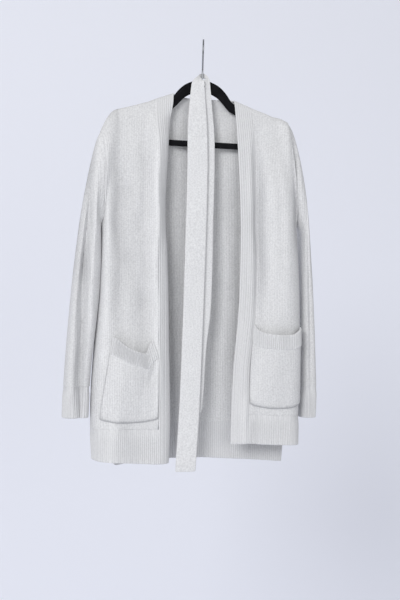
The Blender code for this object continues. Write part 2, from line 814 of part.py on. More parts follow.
def add_neck_band(bands, back, back_out, material):
    """Band round the back of the neck, between the two shoulder seams."""
    columns = 4
    stations = list(range(SHOULDER_COLUMNS, SHOULDER_COLUMNS + NECK_COLUMNS + 1))
    left_edge = bands["left"][0, -1]
    right_edge = bands["right"][0, -1]
    rows = []
    for number, station in enumerate(stations):
        t = neck_share(number)
        seam = back[0, station].copy()
        lift = math.sin(math.pi * t)
        edge = lerp(left_edge, right_edge, t)
        edge[1] = SEAM_GAP / 2 + NECK_EDGE_DEPTH * lift ** 0.35
        edge[2] = lerp(edge[2], -NECK_EDGE_DROP, lift ** 0.8)
        away = unit(edge - seam)
        if number in (0, NECK_COLUMNS):
            away = unit(np.array([away[0], 0, 0]))
        seam = seam + away * (SEAM_GAP * 1.2 + NECK_CORNER_GAP * (1 - lift) ** 3)
        points = np.array([lerp(seam, edge, c / columns) for c in range(columns + 1)])
        if number in (0, NECK_COLUMNS):
            points[:, 1] = SEAM_GAP / 2
        rows.append(points)
    band = np.array(rows)
    band_out = normals(band)
    if band_out[NECK_COLUMNS // 2, 1, 1] < 0:
        band_out = -band_out
    band_out[:, 0] = back_out[0, stations]
    for number in (0, NECK_COLUMNS):
        band_out[number, :, 1] = 0
        band_out[number] = unit(band_out[number])
    inner = band - band_out * CLOTH
    outer = ribbed(band, band_out, BAND_RIBS // columns, RIB_HEIGHT)
    add_wall("band_neck", outer, inner, material)


def sleeve_ring(side, ring):
    """Points of one ring of a sleeve, from the outer edge round the front and the back."""
    centre_x = (ring.out_x + ring.in_x) / 2
    centre_z = (ring.out_z + ring.in_z) / 2
    reach_x = (ring.out_x - ring.in_x) / 2
    reach_z = (ring.out_z - ring.in_z) / 2
    middle = SLEEVE_MIDDLE_DEPTH[side]
    angles = list(ARMHOLE_ANGLES) + [360 - a for a in ARMHOLE_ANGLES[-2:0:-1]]
    points = []
    for angle in angles:
        cos = math.cos(math.radians(angle))
        sin = math.sin(math.radians(angle))
        if angle <= 180:
            y = middle + (ring.front - middle) * abs(sin) ** 0.8
            y += ring.fold_depth * math.exp(-((angle - ring.fold_angle) / FOLD_SPREAD) ** 2)
        else:
            y = middle + (ring.back - middle) * abs(sin) ** 0.8
        points.append((centre_x + reach_x * cos, y, centre_z + reach_z * cos))
    return np.array(points)


def add_sleeve(side, front, front_out, back, back_out, back_column, cloth, ribs):
    """Sleeve from the armhole to the cuff seam, and its ribbed cuff."""
    sign = outwards(side)
    upper = slice(0, UPPER_ROWS + 1)
    first = np.concatenate([front[upper, -1], back[UPPER_ROWS - 1:0:-1, back_column]])
    first_out = np.concatenate([front_out[upper, -1], back_out[UPPER_ROWS - 1:0:-1, back_column]])
    first[0, 1] = 0
    angles = np.array(list(ARMHOLE_ANGLES) + [360 - a for a in ARMHOLE_ANGLES[-2:0:-1]])
    share = np.clip((160 - np.minimum(angles, 360 - angles)) / 35, 0, 1)[:, None]
    first[:, :1] += sign * (SEAM_GAP * 1.2 + UNDERARM_GAP * (1 - share))
    first[:, 0] += sign * ARMHOLE_EASE * np.sin(np.radians(np.minimum(angles, 90)))
    rings = [first] + [sleeve_ring(side, ring) for ring in SLEEVE_RINGS[side]]
    for number, hold in ((1, 0.6), (2, 0.25)):
        rings[number][:, 1] = lerp(rings[number][:, 1], first[:, 1], hold)
    last = rings[-1]
    cuff_end = sleeve_ring(side, CUFF_RINGS[side])
    grid = np.array(rings + [cuff_end])
    out = normals(grid, closed=True)
    out[0] = unit(first_out * share + out[0] * (1 - share))
    inner = grid - out * CLOTH
    add_wall("sleeve_" + side, grid[:-1], inner[:-1], cloth, closed=True)
    cuff = np.array([last, cuff_end])
    cuff_out = np.array([out[-2], out[-2]])
    cuff[0, :, 2] -= SEAM_GAP
    cuff_inner = cuff - cuff_out * CLOTH
    add_wall("cuff_" + side, ribbed(cuff, cuff_out, 2, RIB_HEIGHT, closed=True),
             cuff_inner, ribs, closed=True)


def on_panel(grid, out, column, z):
    """Point and outward direction of a front panel at a column and a height."""
    low = int(min(math.floor(column), grid.shape[1] - 2))
    t = column - low
    found = []
    for j in (low, low + 1):
        heights = -grid[:, j, 2]
        values = [np.interp(-z, heights, grid[:, j, k]) for k in range(3)]
        values += [np.interp(-z, heights, out[:, j, k]) for k in range(3)]
        found.append(np.array(values))
    mixed = lerp(found[0], found[1], t)
    return mixed[:3], unit(mixed[3:])


def pocket_grid(side, grid, out):
    """Inner face of a pocket, rows from the mouth to the lower edge, and the share of its rib."""
    pocket = POCKETS[side]
    rows = []
    for step in range(POCKET_ROWS + 2):
        row = []
        for column in range(POCKET_COLUMNS + 1):
            u = column / POCKET_COLUMNS
            arch = math.sin(math.pi * u)
            mouth = profile(POCKET_MOUTHS[side], u)
            rib_low = mouth - lerp(pocket.rib_end, pocket.rib_middle, arch ** 0.6)
            if step == 0:
                z = mouth
            else:
                z = lerp(rib_low, pocket.low - pocket.bow * arch ** 0.7, (step - 1) / POCKET_ROWS)
            v = min((mouth - z) / (mouth - pocket.low), 1.0)
            far = lerp(pocket.far_top, pocket.far_low, v ** 0.75)
            near = lerp(pocket.near_top, pocket.near_low, smooth(v / 0.2))
            place, outward = on_panel(grid, out, lerp(near, far, u), z)
            puff = POCKET_PUFF * (1 - smooth((v - 0.75) / 0.25))
            stand = POCKET_CLEARANCE + puff * arch ** 0.5
            stand += pocket.gape * arch ** 0.7 * max(0.0, 1 - v) ** 1.3
            stand += 2.5 * arch * math.sin(math.pi * min(v, 1.0))
            row.append(place + outward * stand)
        rows.append(row)
    return np.array(rows)


def add_pocket(side, grid, out, cloth, ribs):
    """Patch pocket with a ribbed trim along its mouth."""
    inner = pocket_grid(side, grid, out)
    facing = normals(inner)
    if facing[2, 5, 1] > 0:
        facing = -facing
    outer = inner + facing * CLOTH
    add_wall("pocket_" + side, outer[1:], inner[1:], cloth)
    trim_inner = inner[:2].copy()
    trim_facing = np.array([facing[0], facing[1]])
    trim_inner[1, :, 2] += SEAM_GAP
    trim_outer = trim_inner + trim_facing * CLOTH
    add_wall("pocket_rib_" + side, ribbed(trim_outer, trim_facing, 2, RIB_HEIGHT),
             trim_inner, ribs)


def strand_row(strand):
    """Points across a belt strand, with a slightly crowned face."""
    row = []
    for column in range(BELT_COLUMNS + 1):
        s = column / BELT_COLUMNS
        row.append((lerp(strand.left, strand.right, s),
                    strand.y - 0.6 * math.sin(math.pi * s), strand.z))
    return row


def add_belt(material):
    """Tie belt: front strand up, round the back of the hook, rear strand down."""
    rows = [strand_row(strand) for strand in reversed(BELT_FRONT)]
    for wrap in BELT_WRAP:
        upper = np.array(wrap[:3], float)
        lower = np.array(wrap[3:], float)
        rows.append([lerp(upper, lower, c / BELT_COLUMNS) for c in range(BELT_COLUMNS + 1)])
    for strand in BELT_REAR:
        rows.append(strand_row(strand)[::-1])
    grid = np.array([[np.array(p, float) for p in row] for row in rows])
    out = normals(grid)
    if out[2, 2, 1] > 0:
        out = -out
    inner = grid - out * BELT_THICKNESS
    add_wall("belt", grid, inner, material)


def add_hanger(material):
    """Slim hanger body: two arms, their tips and the bar, as one closed frame."""
    right = [((x, top), (x, low)) for x, top, low in HANGER_ARM]
    right += [((ox, oz), (ix, iz)) for ox, oz, ix, iz in HANGER_TIP]
    last_outer = HANGER_TIP[-1][0]
    for step in range(1, BAR_STEPS + 1):
        t = step / BAR_STEPS
        right.append(((lerp(last_outer, 0, t), BAR_LOW), (lerp(HANGER_TIP[-1][2], 0, t), BAR_TOP)))
    left = [((-o[0], o[1]), (-i[0], i[1])) for o, i in right[-2:0:-1]]
    half = HANGER_THICKNESS / 2
    build = bmesh.new()
    rings = []
    for outer, inner in right + left:
        outer = np.array(outer, float)
        inner = np.array(inner, float)
        inward = unit(inner - outer) * HANGER_EDGE
        corners = (
            (outer + inward, -half), (inner - inward, -half),
            (inner, -half + HANGER_EDGE), (inner, half - HANGER_EDGE),
            (inner - inward, half), (outer + inward, half),
            (outer, half - HANGER_EDGE), (outer, -half + HANGER_EDGE),
        )
        rings.append([build.verts.new((p[0], y, p[1])) for p, y in corners])
    for ring, following in zip(rings, rings[1:] + rings[:1]):
        for j in range(len(ring)):
            k = (j + 1) % len(ring)
            build.faces.new((ring[j], ring[k], following[k], following[j]))
    bmesh.ops.rotate(build, verts=build.verts, cent=(0, 0, 0),
                     matrix=Matrix.Rotation(math.radians(HANGER_ROLL), 3, "Y"))
    return add_mesh("hanger_body", build, material)


def add_hook(material):
    """Wire hook that stands on the hanger and bends over a rail."""
    reach = HOOK_RADIUS + WIRE_RADIUS
    path = [np.array(point, float) for point in HOOK_STEM]
    for angle in range(HOOK_FROM, HOOK_TO, -15):
        path.append(np.array((reach * math.cos(math.radians(angle)),
                              reach * math.sin(math.radians(angle)) - HOOK_RADIUS)))
    build = bmesh.new()
    rings = []
    for number, point in enumerate(path):
        ahead = path[min(number + 1, len(path) - 1)] - path[max(number - 1, 0)]
        across = unit(np.array((ahead[1], -ahead[0])))
        ring = []
        for step in range(WIRE_SIDES):
            angle = math.tau * step / WIRE_SIDES
            place = point + across * WIRE_RADIUS * math.cos(angle)
            ring.append(build.verts.new((place[0], WIRE_RADIUS * math.sin(angle), place[1])))
        rings.append(ring)
    sheet_faces(build, rings, True)
    build.faces.new(rings[0])
    build.faces.new(rings[-1])
    turn = Matrix.Rotation(math.radians(HOOK_TURN), 3, "Z")
    roll = Matrix.Rotation(math.radians(HANGER_ROLL), 3, "Y")
    bmesh.ops.rotate(build, verts=build.verts, cent=(0, 0, 0), matrix=roll @ turn)
    return add_mesh("hanger_hook", build, material)


def build_cardigan():
    """Make every piece of the garment and its hanger."""
    knit = cloth_material("knit", (0.62, 0.63, 0.64), 0.95)
    rib = cloth_material("rib_knit", (0.6, 0.61, 0.62), 0.95)
    flock = cloth_material("black_flock", (0.012, 0.012, 0.013), 0.9)
    chrome = cloth_material("chrome", (0.75, 0.76, 0.78), 0.15)
    chrome.node_tree.nodes["Principled BSDF"].inputs["Metallic"].default_value = 1
    fronts, outs, back, back_out = panel_grids()
    bands = {}
    for side in ("left", "right"):
        add_panel_with_hem("front_" + side, fronts[side], outs[side], knit, 3, 1)
        bands[side], _ = add_band(side, fronts[side], outs[side], rib)
        add_pocket(side, fronts[side], outs[side], knit, rib)
    add_panel_with_hem("back", back, back_out, knit, 3, 1)
    add_neck_band(bands, back, back_out, rib)
    add_sleeve("left", fronts["left"], outs["left"], back, back_out, 0, knit, rib)
    add_sleeve("right", fronts["right"], outs["right"], back, back_out, -1, knit, rib)
    add_belt(knit)
    add_hanger(flock)
    add_hook(chrome)


for old in list(bpy.data.objects):
    bpy.data.objects.remove(old)
build_cardigan()
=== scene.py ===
"""Looks of a light grey knitted cardigan on a slim flocked hanger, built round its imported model."""
import math
from collections import namedtuple

import bmesh
import bpy
import numpy as np
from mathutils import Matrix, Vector
from mathutils.bvhtree import BVHTree


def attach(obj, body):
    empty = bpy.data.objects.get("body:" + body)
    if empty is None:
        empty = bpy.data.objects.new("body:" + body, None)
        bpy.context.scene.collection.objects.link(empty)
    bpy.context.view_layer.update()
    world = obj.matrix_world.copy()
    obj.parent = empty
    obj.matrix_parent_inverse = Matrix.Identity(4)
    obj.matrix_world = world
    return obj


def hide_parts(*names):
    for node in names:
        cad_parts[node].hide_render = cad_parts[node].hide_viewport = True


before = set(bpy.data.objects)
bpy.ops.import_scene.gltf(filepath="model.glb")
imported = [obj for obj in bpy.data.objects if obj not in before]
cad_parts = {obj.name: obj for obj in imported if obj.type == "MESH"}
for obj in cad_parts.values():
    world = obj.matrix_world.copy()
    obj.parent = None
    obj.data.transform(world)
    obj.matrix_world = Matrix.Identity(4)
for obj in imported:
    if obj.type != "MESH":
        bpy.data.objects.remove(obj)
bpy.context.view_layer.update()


# Hook. A chromed steel wire 3.6 mm thick, bent to a hook and let into the neck of the hanger.
# It is drawn smooth from its solid.
class Wire:
    """A socket of a material. Python's operators on it add Math nodes."""

    def __init__(self, tree, socket):
        self.tree = tree
        self.socket = socket

    def node(self, kind, settings, output=0, **values):
        """Add a node, set it up, and feed its sockets with numbers or other wires."""
        made = self.tree.nodes.new("ShaderNode" + kind)
        for name, value in settings.items():
            setattr(made, name, value)
        for name, value in values.items():
            key = int(name[1:]) if name[0] == "_" else name.replace("_", " ")
            if isinstance(value, Wire):
                self.tree.links.new(value.socket, made.inputs[key])
            else:
                made.inputs[key].default_value = value
        return Wire(self.tree, made.outputs[output])

    def maths(self, operation, first, second=0.0, third=0.0):
        return self.node("Math", {"operation": operation}, _0=first, _1=second, _2=third)

    def __add__(self, other):
        return self.maths("ADD", self, other)

    def __sub__(self, other):
        return self.maths("SUBTRACT", self, other)

    def __rsub__(self, other):
        return self.maths("SUBTRACT", other, self)

    def __mul__(self, other):
        return self.maths("MULTIPLY", self, other)

    def __truediv__(self, other):
        return self.maths("DIVIDE", self, other)

    __radd__ = __add__
    __rmul__ = __mul__

    def sine(self):
        return self.maths("SINE", self)

    def fraction(self):
        return self.maths("FRACT", self)

    def size(self):
        return self.maths("ABSOLUTE", self)

    def power(self, other):
        return self.maths("POWER", self, other)

    def spread(self, low, high, out_low=0.0, out_high=1.0):
        """Spread the wire's values from one range to another, held at its ends."""
        return self.node("MapRange", {"clamp": True}, _0=self, _1=low, _2=high, _3=out_low,
                         _4=out_high)

    def part(self, name):
        """One of X, Y and Z of a vector."""
        return self.node("SeparateXYZ", {}, output=name, _0=self)

    def mark(self, name):
        """The value that a mesh's attribute has there."""
        return self.node("Attribute", {"attribute_name": name}, output="Fac")

    def grain(self, scale, detail=2.0):
        """Noise at this wire's places, so many specks to the metre."""
        return self.node("TexNoise", {}, Vector=self, Scale=scale, Detail=detail)

    def mix(self, colour_a, colour_b):
        """Mix two colours by this wire."""
        return self.node("Mix", {"data_type": "RGBA"}, output=2, _0=self, _6=colour_a, _7=colour_b)


def new_finish(name, **settings):
    """A material, its shader, and a wire of its Object coordinates to work from."""
    finish = bpy.data.materials.new(name)
    finish.use_nodes = True
    shader = finish.node_tree.nodes["Principled BSDF"]
    for key, value in settings.items():
        shader.inputs[key.replace("_", " ")].default_value = value
    place = Wire(finish.node_tree, None).node("TexCoord", {}, output="Object")
    return finish, shader, place


def feed(shader, name, wire):
    """Link a wire to one of the shader's sockets."""
    wire.tree.links.new(wire.socket, shader.inputs[name])


def dent(shader, height, distance):
    """Bump the surface by a height wire."""
    feed(shader, "Normal", height.node("Bump", {}, Distance=distance, Height=height))


def squared(node):
    """A copy of a node's mesh, its doubles merged and its triangles joined to quads. Its points
    can be marked as a rib's ridge, as held in a seam, and as lying at a sewn rim that gets painted
    shade."""
    shape = bmesh.new()
    shape.from_mesh(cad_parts[node].data)
    bmesh.ops.remove_doubles(shape, verts=shape.verts, dist=1e-6)
    bmesh.ops.join_triangles(shape, faces=shape.faces, angle_face_threshold=math.radians(60),
                             angle_shape_threshold=math.radians(180))
    for mark in ("ridge", "held", "seam_shade"):
        shape.verts.layers.float.new(mark)
    return shape


def is_rim(edge):
    """Whether the surface turns sharply at an edge, as it does at the rim of a piece."""
    return edge.calc_face_angle(0) > math.radians(50)


def smoothed(shape, crease):
    """The mesh of a shape subdivided smoothly, with its rims creased and its seams kept sharp."""
    levels = 2
    held = shape.verts.layers.float["held"]
    edges = shape.edges.layers.float.new("crease_edge")
    for edge in shape.edges:
        if is_rim(edge):
            sewn = edge.verts[0][held] and edge.verts[1][held]
            edge[edges] = 1.0 if sewn else crease
    cage = bpy.data.meshes.new("cage")
    shape.to_mesh(cage)
    shape.free()
    form = bpy.data.objects.new("form", cage)
    bpy.context.scene.collection.objects.link(form)
    smooth = form.modifiers.new("smooth", "SUBSURF")
    smooth.levels = levels
    smooth.render_levels = levels
    done = form.evaluated_get(bpy.context.evaluated_depsgraph_get())
    mesh = bpy.data.meshes.new_from_object(done)
    bpy.data.objects.remove(form)
    bpy.data.meshes.remove(cage)
    return mesh


def put_on(name, mesh, node, finish):
    """Make the piece from its mesh. It stands for its node and rides with the body."""
    mesh.name = name
    mesh.shade_smooth()
    mesh.set_sharp_from_angle(angle=math.radians(42))
    mesh.materials.clear()
    mesh.materials.append(finish)
    piece = bpy.data.objects.new(name, mesh)
    bpy.context.scene.collection.objects.link(piece)
    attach(piece, "root")
    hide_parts(node)
    return piece


chrome, chrome_shader, chrome_place = new_finish("chrome", Metallic=1.0, Roughness=0.2)
haze = chrome_place.grain(220.0, 3.0)
feed(chrome_shader, "Base Color", haze.mix((0.2, 0.21, 0.225, 1), (0.36, 0.37, 0.39, 1)))
feed(chrome_shader, "Roughness", haze.spread(0.35, 0.75, 0.24, 0.42))
put_on("wire_hook", smoothed(squared("hanger_hook"), 0.0), "hanger_hook", chrome)


# Hanger. A slim moulded plastic frame, two arched arms closed by a straight bar, with its edges
# rounded and all of it coated in short black flock that keeps the cloth from slipping.
flock, flock_shader, flock_place = new_finish("black_flock", Roughness=0.96, Sheen_Weight=0.03,
                                              Specular_IOR_Level=0.15)
pile = flock_place.grain(1800.0)
brushed = flock_place.grain(60.0, 4.0)
feed(flock_shader, "Base Color",
     (pile * 0.5 + brushed * 0.5).spread(0.35, 0.65).mix((0.002, 0.002, 0.003, 1),
                                                         (0.009, 0.009, 0.011, 1)))
dent(flock_shader, pile, 0.0004)
put_on("flocked_hanger", smoothed(squared("hanger_body"), 0.4), "hanger_body", flock)


# Back. One panel of plain knit in light heather grey, linked to the fronts at the shoulders and
# sides, with a deep ribbed hem below and a ribbed band round its neck. It hangs in long folds.
RIB_PITCH = 0.0043


def yarn_finish(name):
    """A material for knit: its shader, its place, its place on the knit's map, which runs across
    the wales and down them, and the grain of its yarn."""
    finish, shader, place = new_finish(name, Roughness=0.94, Sheen_Weight=0.12,
                                       Sheen_Roughness=0.5)
    spot = place.node("UVMap", {"uv_map": "knit"})
    return finish, shader, place, spot, place.grain(330.0, 3.0)


def knit_finish(name, wale, course, relief, tone=1.0):
    """Plain knit in heathered yarn, with loops a wale wide and a course high. Its finish paints
    shade into the valleys between wales, at a pocket's sewn rim and in fold troughs, and light onto
    fold ridges.
    """
    finish, shader, place, spot, yarn = yarn_finish(name)
    across = spot.part("X") / wale
    down = spot.part("Y") / course
    lean = (across.fraction() - 0.5).size()
    loops = ((down + lean * 1.6) * math.tau).sine() * 0.5 + 0.5
    valley = (lean * 2.0).power(3.0)
    shade = yarn.spread(0.32, 0.68) * 0.5 + place.grain(800.0, 1.0) * 0.2
    # Painted shade: the valleys between wales are darkened.
    shade = shade + place.grain(24.0) * 0.2 - valley * 0.16 + 0.04
    # Painted shade at a pocket's sewn rim and in fold troughs, painted light on fold ridges.
    shade = shade - place.mark("seam_shade").power(6.0) + place.mark("fold") * 0.45
    dark = tuple(v * tone for v in (0.45, 0.453, 0.463)) + (1,)
    light = tuple(v * tone for v in (0.92, 0.922, 0.93)) + (1,)
    feed(shader, "Base Color", shade.spread(-0.4, 1.3).mix(dark, light))
    dent(shader, loops * 0.5 - valley + yarn * 0.6, relief)
    return finish


def rib_finish(name, course):
    """Rib knit in the same yarn, with painted shade in its grooves and painted light on its ribs."""
    finish, shader, place, spot, yarn = yarn_finish(name)
    down = spot.part("Y") / course
    ridge = place.mark("ridge")
    within = place.mark("within")
    wave = (spot.part("X") * (math.tau / RIB_PITCH)).sine() * 0.5 + 0.5
    ridge = ridge + within * (wave - ridge)
    speck = yarn.spread(0.32, 0.68) * 0.32 + place.grain(800.0, 1.0) * 0.14
    # Painted shade: darker in the grooves and lighter on the ribs, from how high each point lies.
    shade = ridge.spread(0.1, 0.9) * 0.5 + speck + place.grain(24.0) * 0.14 - 0.05
    # Painted shade in fold troughs and painted light on fold ridges.
    shade = shade + place.mark("fold") * 0.7
    feed(shader, "Base Color", shade.spread(-0.7, 1.5).mix((0.45, 0.453, 0.465, 1),
                                                           (0.825, 0.827, 0.835, 1)))
    dent(shader, (down * math.tau).sine() * 0.3 + yarn * 0.6 + within * wave, 0.0006)
    return finish


def points(mesh, what="co"):
    """A row of three numbers for each point of a mesh: its place, or else its normal."""
    rows = np.empty(len(mesh.vertices) * 3, np.float32)
    mesh.vertices.foreach_get(what, rows)
    return rows.reshape(-1, 3)


def move_points(mesh, places):
    """Put a mesh's points at new places."""
    mesh.vertices.foreach_set("co", places.ravel())
    mesh.update()


def mark_points(mesh, name, values):
    """Give each point of a mesh a value that its finish reads."""
    mesh.attributes.new(name, "FLOAT", "POINT").data.foreach_set("value", values)


def map_knit(mesh, across, girth=0.0):
    """Lay the knit's map on a mesh: metres across the wales, from a function, and down them. A
    girth is how far it runs round a tube before it meets itself."""
    places = points(mesh)
    corners = np.empty(len(mesh.loops), np.int32)
    mesh.loops.foreach_get("vertex_index", corners)
    width = across(places)[corners].reshape(-1, 4)
    if girth:
        width = width + girth * np.round((width[:, :1] - width) / girth)
    layer = mesh.uv_layers.new(name="knit")
    layer.uv.foreach_set("vector", np.stack([width.ravel(), places[corners, 2]], 1).ravel())


def straight(places):
    """Metres straight across a narrow piece."""
    return places[:, 0]


def round_body(places):
    """Metres round the body: straight across its front and back, and round its side folds."""
    flat, radius = 0.185, 0.034
    over = np.maximum(np.abs(places[:, 0]) - flat, 0.0)
    bend = np.arctan2(over, np.abs(places[:, 1]) + 0.002) * radius
    return np.where(over > 0, np.sign(places[:, 0]) * (flat + bend), places[:, 0])


FULL_LIFT = 0.28


def raise_ribs(shape, lengthwise=2, lift=FULL_LIFT):
    """Bring out the ribs, which smoothing would flatten, and mark how high each point lies, for the
    finish's painted shade in the grooves. They run along one axis, and a point is lifted by a share
    of its height over its neighbours."""
    longest, widest, least = 0.03, 0.0038, 0.0006
    tall = [edge for edge in shape.edges if edge.calc_length() > longest]
    bmesh.ops.subdivide_edges(shape, edges=tall, cuts=3, use_grid_fill=True)
    ridge = shape.verts.layers.float["ridge"]
    moves = []
    for vert in shape.verts:
        vert[ridge] = 0.5
        steps = [edge.other_vert(vert).co - vert.co for edge in vert.link_edges]
        steps = sorted((s for s in steps if s.length < widest), key=lambda s: abs(s[lengthwise]))
        if len(steps) > 1:
            rise = -(steps[0] + steps[1]) / 2
            if rise.length > least:
                moves.append((vert, rise))
    for vert, rise in moves:
        shown = 0.5 * min(lift / FULL_LIFT, 1.0)
        vert[ridge] = 0.5 + math.copysign(shown, rise.dot(vert.normal))
        vert.co += rise * lift


def rib_within(mesh):
    """Mark the inner side of a hem, where it shows in the open front, for the finish to draw ribs
    on with a bump and painted shade in their grooves.
    """
    facing = -points(mesh, "normal")[:, 1]
    mark_points(mesh, "within", np.clip(facing * 2 - 0.6, 0, 1))


def link(shape, *nodes, reach=0.0012):
    """Carry a shape's edge across the seam into its neighbours, as linked knitting is joined.
    With no reach it only keeps that edge sharp."""
    seam, sink = 0.0017, 0.0002
    solids = bmesh.new()
    for node in nodes:
        solids.from_mesh(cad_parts[node].data)
    tree = BVHTree.FromBMesh(solids)
    solids.free()
    held = shape.verts.layers.float["held"]
    shape.normal_update()
    for vert in shape.verts:
        spot = tree.find_nearest(vert.co, seam)[0]
        if spot is not None:
            vert[held] = 1.0
            if reach:
                across = (spot - vert.co).normalized()
                vert.co = spot + across * reach - vert.normal * sink


# A soft line down a panel between two places, half its width, and how far it stands out, all in
# millimetres. A trough's depth is below nought.
Crease = namedtuple("Crease", "top_x top_z low_x low_z half depth")


def hang(mesh, creases, facing, middle=0.0):
    """Draw soft ridges out of a mesh and press troughs into it along Y, on the side that faces
    that way from a middle depth in millimetres. Each sways, fades at both ends and is uneven, and
    its depth is marked for the finishes, which paint shade into the troughs and light onto the
    ridges."""
    top_fade, low_fade, flank, full_shade_depth = 0.22, 0.34, 12, 10
    places = points(mesh)
    x, y, z = (places * 1000).T
    push = np.zeros(len(x))
    for number, row in enumerate(creases):
        run = (row.top_z - z) / (row.top_z - row.low_z)
        sway = 0.45 * row.half * np.sin(z / 37 + number * 2.1) * np.sin(z / 83 + number)
        centre = row.top_x + (row.low_x - row.top_x) * run + sway
        ends = np.clip(np.minimum(run / top_fade, (1 - run) / low_fade), 0, 1)
        ends = ends * ends * (3 - 2 * ends)
        uneven = 0.8 + 0.2 * np.sin(z / 61 + number * 1.7)
        push += row.depth * ends * uneven * np.exp(-((x - centre) / row.half) ** 2)
    side = np.clip((y - middle) * facing / flank, 0, 1)
    places[:, 1] += facing * push * side / 1000
    # Painted shade and light: the finishes darken the troughs and lighten the ridges by this mark.
    mark_points(mesh, "fold", np.clip(push * side / full_shade_depth, -1, 1).astype(np.float32))
    move_points(mesh, places)


BACK_CREASES = (
    Crease(30, -190, 22, -860, 7, 2.5),
    Crease(58, -200, 52, -820, 9, -3),
    Crease(88, -230, 84, -900, 8, 2),
    Crease(-26, -210, -24, -900, 10, -2.5),
    Crease(-70, -300, -76, -900, 8, 2.5),
    Crease(-128, -200, -118, -520, 10, -3),
    Crease(-186, -420, -178, -900, 9, 3),
    Crease(148, -220, 132, -560, 9, -3),
    Crease(176, -420, 168, -900, 8, 2.5),
    Crease(-206, -300, -150, -200, 12, -2),
    Crease(104, -480, 110, -900, 7, -2.5),
)
heather = knit_finish("heather_knit", 0.0036, 0.0026, 0.0005)
ribbing = rib_finish("heather_rib", 0.0026)

shape = squared("back")
link(shape, "front_left", "front_right", "hem_back", "band_neck", reach=0)
back = smoothed(shape, 0.6)
map_knit(back, round_body)
hang(back, BACK_CREASES, 1)
piece = put_on("back_panel", back, "back", heather)

shape = squared("hem_back")
raise_ribs(shape)
link(shape, "back")
hem = smoothed(shape, 0.4)
rib_within(hem)
map_knit(hem, round_body)
hang(hem, BACK_CREASES, 1)
piece = put_on("back_hem", hem, "hem_back", ribbing)

shape = squared("band_neck")
raise_ribs(shape, 0)
link(shape, "back", "band_left", "band_right")
neck = smoothed(shape, 0.4)
map_knit(neck, straight)
piece = put_on("neck_band", neck, "band_neck", ribbing)


# Fronts. Each is a panel of the same plain knit with a ribbed hem and a ribbed band linked to
# its front edge. The bands roll in below the neck, and the panels turn round the sides.
FRONT_CREASES = {
    "left": (
        Crease(-214, -180, -216, -760, 11, 6),
        Crease(-184, -140, -184, -720, 15, -9),
        Crease(-158, -220, -154, -720, 16, -5),
        Crease(-130, -170, -132, -700, 12, -5),
        Crease(-108, -120, -106, -940, 9, 7),
        Crease(-126, -520, -150, -740, 9, -3),
        Crease(-168, -780, -160, -1000, 20, -3),
        Crease(-200, -780, -206, -1000, 12, 5),
    ),
    "right": (
        Crease(102, -150, 103, -680, 8, 3),
        Crease(118, -140, 119, -680, 11, -10),
        Crease(160, -210, 158, -720, 18, 3.5),
        Crease(108, -760, 112, -960, 12, -6),
        Crease(88, -740, 86, -960, 10, 5),
        Crease(194, -150, 207, -500, 7, -9),
    ),
}
for side in ("left", "right"):
    shape = squared("front_" + side)
    link(shape, "back", "band_" + side, "hem_front_" + side, "sleeve_" + side, reach=0)
    front = smoothed(shape, 0.6)
    map_knit(front, round_body)
    hang(front, FRONT_CREASES[side], -1)
    piece = put_on(side + "_front", front, "front_" + side, heather)

    shape = squared("hem_front_" + side)
    raise_ribs(shape)
    link(shape, "front_" + side)
    hem = smoothed(shape, 0.4)
    map_knit(hem, round_body)
    hang(hem, FRONT_CREASES[side], -1)
    piece = put_on(side + "_hem", hem, "hem_front_" + side, ribbing)

    shape = squared("band_" + side)
    raise_ribs(shape, lift=0.12)
    link(shape, "front_" + side, "hem_front_" + side)
    band = smoothed(shape, 0.4)
    map_knit(band, straight)
    hang(band, FRONT_CREASES[side], -1)
    piece = put_on(side + "_band", band, "band_" + side, ribbing)


# Pockets. A patch of the plain knit on each front, sewn down along its sides and lower edge, with
# a ribbed trim along its mouth, which has stretched and stands open.
def mark_seam_shade(shape):
    """Mark the sewn-down rim of a patch for painted shade, the shade of its seam."""
    seam_shade = shape.verts.layers.float["seam_shade"]
    held = shape.verts.layers.float["held"]
    for edge in shape.edges:
        if is_rim(edge):
            for vert in edge.verts:
                vert[seam_shade] = 1.0 - vert[held]


POCKET_CREASES = {
    "left": FRONT_CREASES["left"] + (Crease(-106, -668, -130, -745, 6, -3),),
    "right": FRONT_CREASES["right"],
}
for side in ("left", "right"):
    shape = squared("pocket_" + side)
    link(shape, "pocket_rib_" + side, reach=0)
    # Painted shade along the pocket's sewn rim.
    mark_seam_shade(shape)
    pocket = smoothed(shape, 0.5)
    map_knit(pocket, round_body)
    hang(pocket, POCKET_CREASES[side], -1)
    piece = put_on(side + "_pocket", pocket, "pocket_" + side, heather)

    shape = squared("pocket_rib_" + side)
    raise_ribs(shape, lift=0.7)
    link(shape, "pocket_" + side)
    trim = smoothed(shape, 0.4)
    map_knit(trim, round_body)
    hang(trim, POCKET_CREASES[side], -1)
    piece = put_on(side + "_pocket_rib", trim, "pocket_rib_" + side, ribbing)


# Sleeves. Each is a tube of the plain knit, linked round the armhole and closed along its inner
# side, with a ribbed cuff. They hang empty and fold lengthwise.
SLEEVE_CREASES = {
    "left": (
        Crease(-240, -210, -262, -560, 8, -9),
        Crease(-263, -420, -268, -830, 12, -11),
        Crease(-280, -380, -292, -830, 7, 5),
        Crease(-240, -320, -248, -760, 8, 3),
    ),
    "right": (
        Crease(195, -170, 211, -520, 8, -12),
        Crease(238, -400, 240, -800, 5, -3),
    ),
}


def relax(shape, low):
    """Smooth the top of a sleeve, so that it falls softly from the armhole."""
    top = [vert for vert in shape.verts
           if vert.co.z > low and not any(is_rim(edge) for edge in vert.link_edges)]
    for _ in range(4):
        bmesh.ops.smooth_vert(shape, verts=top, factor=0.5, use_axis_x=True, use_axis_y=True,
                              use_axis_z=False)


